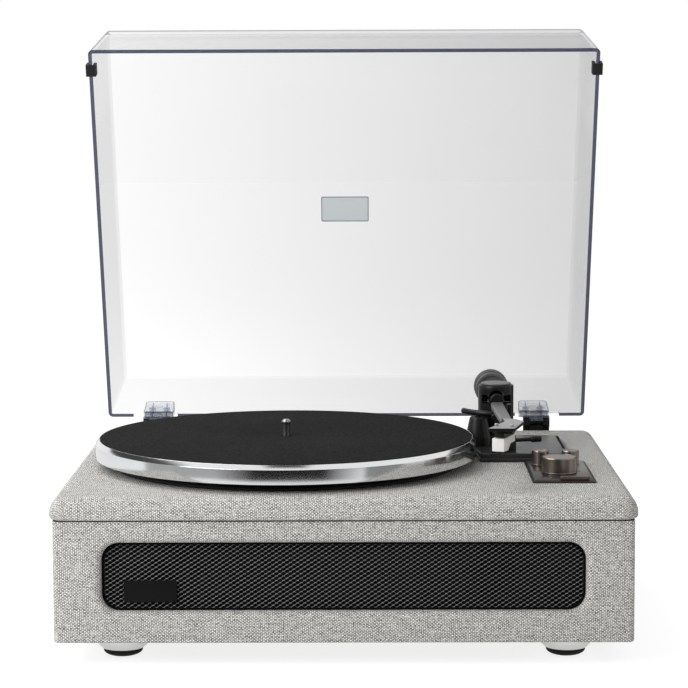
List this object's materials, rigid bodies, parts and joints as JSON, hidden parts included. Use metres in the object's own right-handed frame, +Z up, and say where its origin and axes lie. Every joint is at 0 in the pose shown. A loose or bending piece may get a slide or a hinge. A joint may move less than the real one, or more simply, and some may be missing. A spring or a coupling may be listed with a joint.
{
  "type": "record player",
  "caption": "Cloth-wrapped record player with a belt-driven platter, straight tonearm with cue lever, speaker grille, bronze knobs and a clear hinged dust cover.",
  "frame": {"origin": "under the middle of the whole part with its cover open, at floor level", "axes": "+Z up, front with the speaker grille at -Y, +X to the right seen from the front"},
  "size_m": [0.424, 0.398, 0.463],
  "materials": {
    "linen_wrap": "matte",
    "plain_board": "matte",
    "steel_mesh": "satin",
    "black_plastic": "matte",
    "arm_black": "satin",
    "arm_grey": "satin",
    "platter_metal": "polished",
    "spindle_steel": "polished",
    "foot_silver": "satin",
    "motor_steel": "satin",
    "brass": "satin",
    "felt": "matte",
    "rubber": "matte",
    "bronze_metal": "brushed",
    "pale_shell": "satin",
    "circuit": "satin",
    "clear_plastic": "gloss"
  },
  "bodies": {
    "cabinet": {"cabinet_shell": "linen_wrap", "top_board": "linen_wrap", "bottom_panel": "plain_board", "speaker_baffle": "plain_board", "speaker_grille": "steel_mesh", "speaker_left": "black_plastic", "speaker_right": "black_plastic", "jack_panel": "black_plastic", "phono_jacks": "motor_steel", "power_inlet": "black_plastic", "amplifier_board": "circuit", "platter_tray": "black_plastic", "motor": "motor_steel", "drive_belt": "rubber", "spindle_bearing": "brass", "tonearm_base": "arm_black", "arm_column": "arm_black", "arm_rest": "arm_black", "lift_housing": "arm_black", "control_plate": "bronze_metal", "hinge_base_left": "black_plastic", "hinge_base_right": "black_plastic", "foot_ring_front_left": "foot_silver", "foot_pad_front_left": "rubber", "foot_ring_front_right": "foot_silver", "foot_pad_front_right": "rubber", "foot_ring_rear_left": "foot_silver", "foot_pad_rear_left": "rubber", "foot_ring_rear_right": "foot_silver", "foot_pad_rear_right": "rubber"},
    "platter": {"platter": "platter_metal", "sub_platter": "black_plastic", "slip_mat": "felt", "spindle": "spindle_steel"},
    "pulley": {"motor_pulley": "brass"},
    "arm_bearing": {"bearing_housing": "arm_black", "housing_cap": "arm_grey", "tilt_pin": "brass"},
    "arm": {"arm_hub": "arm_black", "arm_wand": "arm_grey", "headshell": "arm_grey", "cartridge": "pale_shell", "stylus": "black_plastic"},
    "weight_carrier": {"weight_bush": "black_plastic"},
    "weight": {"counterweight": "arm_black", "force_dial": "arm_grey"},
    "lift": {"lift_bar": "arm_black"},
    "lever": {"cue_lever": "arm_black"},
    "volume": {"volume_knob": "bronze_metal"},
    "mode": {"mode_knob": "bronze_metal"},
    "tone": {"tone_knob": "bronze_metal"},
    "slide": {"slide_switch": "bronze_metal"},
    "rocker": {"power_rocker": "black_plastic"},
    "lid": {"dust_cover": "clear_plastic", "hinge_pocket_left": "clear_plastic", "hinge_pocket_right": "clear_plastic", "hinge_tongue_left": "black_plastic", "hinge_tongue_right": "black_plastic", "bumper_left": "rubber", "bumper_right": "rubber"}
  },
  "joints": [
    {"name": "lid_hinge", "type": "hinge", "parent": "cabinet", "child": "lid", "pos_m": [0, 0.1425, 0.1317], "axis": [1, 0, 0], "range_deg": [0, 69.8]},
    {"name": "platter_spin", "type": "hinge", "parent": "cabinet", "child": "platter", "pos_m": [-0.0457, -0.0382, 0.1244], "axis": [0, 0, 1], "continuous": true},
    {"name": "pulley_spin", "type": "hinge", "parent": "cabinet", "child": "pulley", "pos_m": [-0.13197, 0.04806, 0.1244], "axis": [0, 0, 1], "continuous": true},
    {"name": "arm_swing", "type": "hinge", "parent": "cabinet", "child": "arm_bearing", "pos_m": [0.122, 0.033, 0.1244], "axis": [0, 0, -1], "range_deg": [0, 46]},
    {"name": "arm_tilt", "type": "hinge", "parent": "arm_bearing", "child": "arm", "pos_m": [0.122, 0.033, 0.1658], "axis": [-1, 0, 0], "range_deg": [0, 2.4]},
    {"name": "weight_slide", "type": "slide", "parent": "arm", "child": "weight_carrier", "axis": [0, 1, 0], "range_m": [-0.003, 0.003]},
    {"name": "weight_turn", "type": "hinge", "parent": "weight_carrier", "child": "weight", "pos_m": [0.122, 0.103, 0.1658], "axis": [0, 1, 0], "range_deg": [-360, 360]},
    {"name": "lift_slide", "type": "slide", "parent": "cabinet", "child": "lift", "axis": [0, 0, 1], "range_m": [0, 0.0012]},
    {"name": "cue_lever_turn", "type": "hinge", "parent": "cabinet", "child": "lever", "pos_m": [0.1312, -0.017, 0.1382], "axis": [0, -1, 0], "range_deg": [0, 40]},
    {"name": "volume_turn", "type": "hinge", "parent": "cabinet", "child": "volume", "pos_m": [0.1623, -0.1017, 0.1244], "axis": [0, 0, 1], "range_deg": [-140, 140]},
    {"name": "mode_turn", "type": "hinge", "parent": "cabinet", "child": "mode", "pos_m": [0.1507, -0.0664, 0.1244], "axis": [0, 0, 1], "range_deg": [-45, 45]},
    {"name": "tone_turn", "type": "hinge", "parent": "cabinet", "child": "tone", "pos_m": [0.1736, -0.0664, 0.1244], "axis": [0, 0, 1], "range_deg": [-140, 140]},
    {"name": "slide_move", "type": "slide", "parent": "cabinet", "child": "slide", "axis": [-1, 0, 0], "range_m": [0, 0.004]},
    {"name": "rocker_tip", "type": "hinge", "parent": "cabinet", "child": "rocker", "pos_m": [-0.04, 0.1406, 0.06], "axis": [-1, 0, 0], "range_deg": [0, 16]}
  ],
  "couplings": [
    {"joint": "pulley_spin", "follows": "platter_spin", "ratio": 18.182},
    {"joint": "lift_slide", "follows": "arm_tilt", "m_per_rad": 0.028645},
    {"joint": "cue_lever_turn", "follows": "arm_tilt", "ratio": 16.665},
    {"joint": "weight_slide", "follows": "weight_turn", "m_per_rad": 0.00047742}
  ]
}
